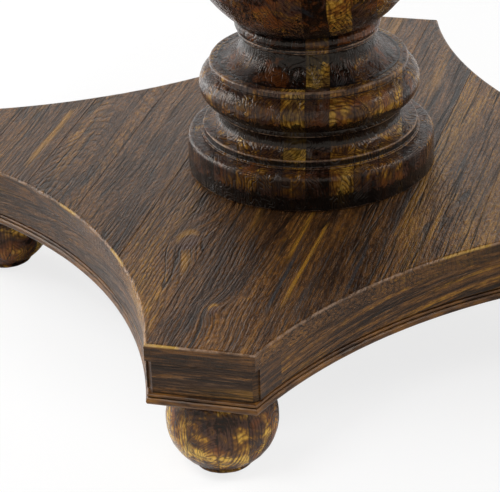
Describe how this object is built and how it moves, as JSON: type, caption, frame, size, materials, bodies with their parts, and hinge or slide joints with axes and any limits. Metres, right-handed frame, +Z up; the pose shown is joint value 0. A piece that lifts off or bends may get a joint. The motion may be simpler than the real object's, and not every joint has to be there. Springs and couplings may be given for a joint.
{
  "type": "round pedestal table",
  "caption": "Round dining table on a turned pedestal, with a hollow-sided platform, a mitred bead moulding and bun feet.",
  "frame": {"origin": "on the floor, on the column's axis", "axes": "+Z up; -Y towards the front corner of the platform and +X towards its right corner; the boards run along Y"},
  "size_m": [1.37, 1.37, 0.765],
  "materials": {
    "top_wood": "dark brown lacquer, half gloss, brushed grain",
    "rim_wood": "dark brown lacquer, half gloss",
    "frame_wood": "dark brown stain, half matt",
    "column_wood": "golden and dark strips glued side by side and turned, clear lacquer",
    "platform_wood": "dark brown lacquer, half gloss, brushed grain with worn edges",
    "frieze_wood": "dark brown lacquer, half gloss",
    "bead_wood": "golden brown lacquer, worn along its ridges",
    "foot_wood": "golden and dark strips glued side by side and turned, clear lacquer",
    "steel": "zinc-plated steel",
    "felt": "dark grey felt"
  },
  "bodies": {
    "root": {"top_board_1": "top_wood", "top_board_2": "top_wood", "top_board_3": "top_wood", "top_board_4": "top_wood", "top_board_5": "top_wood", "top_board_6": "top_wood", "top_board_7": "top_wood", "top_rim_1": "rim_wood", "top_rim_2": "rim_wood", "top_rim_3": "rim_wood", "top_rim_4": "rim_wood", "top_rim_5": "rim_wood", "top_rim_6": "rim_wood", "bearer_long": "frame_wood", "bearer_cross": "frame_wood", "bearer_screws": "steel", "column_plinth": "column_wood", "column_base": "column_wood", "column_neck": "column_wood", "column_vase": "column_wood", "column_cap": "column_wood", "tie_rod": "steel", "tie_rod_nuts": "steel", "tie_rod_washers": "steel", "platform_board_1": "platform_wood", "platform_board_2": "platform_wood", "platform_board_3": "platform_wood", "platform_board_4": "platform_wood", "platform_board_5": "platform_wood", "platform_board_6": "platform_wood", "platform_board_7": "platform_wood", "platform_board_8": "platform_wood", "platform_board_9": "platform_wood", "platform_board_10": "platform_wood", "platform_board_11": "platform_wood", "corner_block_front": "frieze_wood", "corner_block_right": "frieze_wood", "corner_block_back": "frieze_wood", "corner_block_left": "frieze_wood", "side_rail_front_right": "frieze_wood", "side_rail_back_right": "frieze_wood", "side_rail_back_left": "frieze_wood", "side_rail_front_left": "frieze_wood", "corner_bead_front": "bead_wood", "corner_bead_right": "bead_wood", "corner_bead_back": "bead_wood", "corner_bead_left": "bead_wood", "side_bead_front_right": "bead_wood", "side_bead_back_right": "bead_wood", "side_bead_back_left": "bead_wood", "side_bead_front_left": "bead_wood", "cross_rail_long": "frame_wood", "cross_rail_cross": "frame_wood", "bun_foot_front": "foot_wood", "bun_foot_right": "foot_wood", "bun_foot_back": "foot_wood", "bun_foot_left": "foot_wood", "foot_bolts": "steel", "foot_glides": "felt"}
  },
  "joints": []
}
